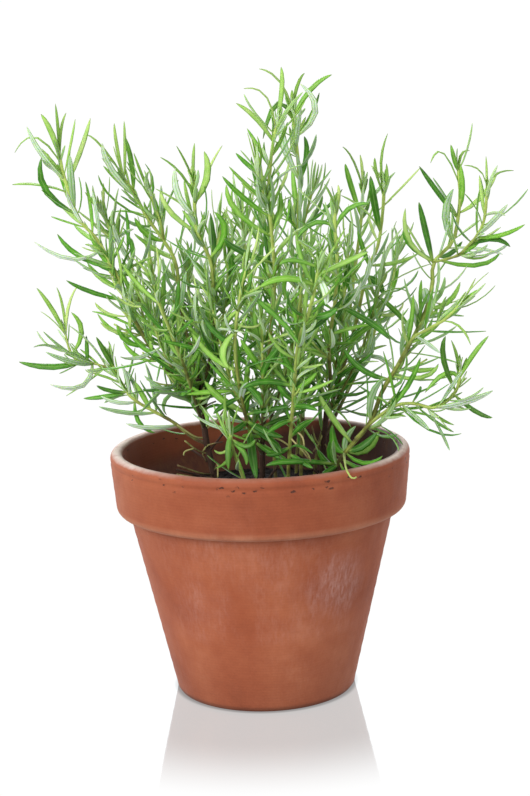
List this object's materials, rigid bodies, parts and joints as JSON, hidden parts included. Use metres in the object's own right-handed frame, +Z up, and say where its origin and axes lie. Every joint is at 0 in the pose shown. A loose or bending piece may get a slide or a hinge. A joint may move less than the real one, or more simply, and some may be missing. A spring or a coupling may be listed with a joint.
{
  "type": "potted rosemary plant",
  "caption": "Rosemary plant with upright woody stems and green shoots of long narrow leaves, growing from dark soil in a round terracotta pot with a thick rim band and a drain hole.",
  "frame": {"origin": "middle of the pot's foot, on the surface it stands on", "axes": "+Z up, the front faces -Y, +X to the right seen from the front"},
  "size_m": [0.267, 0.1811, 0.3323],
  "materials": {
    "terracotta": "matt unglazed clay",
    "potting_soil": "dark moist peat and bark",
    "old_wood": "thin brown bark",
    "rosemary_green": "satin leaf, pale underneath"
  },
  "bodies": {
    "root": {"pot": "terracotta", "potting_soil": "potting_soil", "woody_stem_left": "old_wood", "woody_stem_centre": "old_wood", "woody_stem_right": "old_wood", "shoot_left_outer": "rosemary_green", "shoot_left_leader": "rosemary_green", "shoot_left_inner": "rosemary_green", "shoot_left_low": "rosemary_green", "shoot_left_back": "rosemary_green", "shoot_left_rear": "rosemary_green", "shoot_left_front": "rosemary_green", "shoot_centre": "rosemary_green", "shoot_centre_front": "rosemary_green", "shoot_basal_front": "rosemary_green", "shoot_front": "rosemary_green", "shoot_tallest": "rosemary_green", "shoot_rear": "rosemary_green", "shoot_right_rear": "rosemary_green", "shoot_back_right": "rosemary_green", "shoot_right_front": "rosemary_green", "shoot_right_inner": "rosemary_green", "shoot_right_back": "rosemary_green", "shoot_right_main": "rosemary_green"}
  },
  "joints": []
}
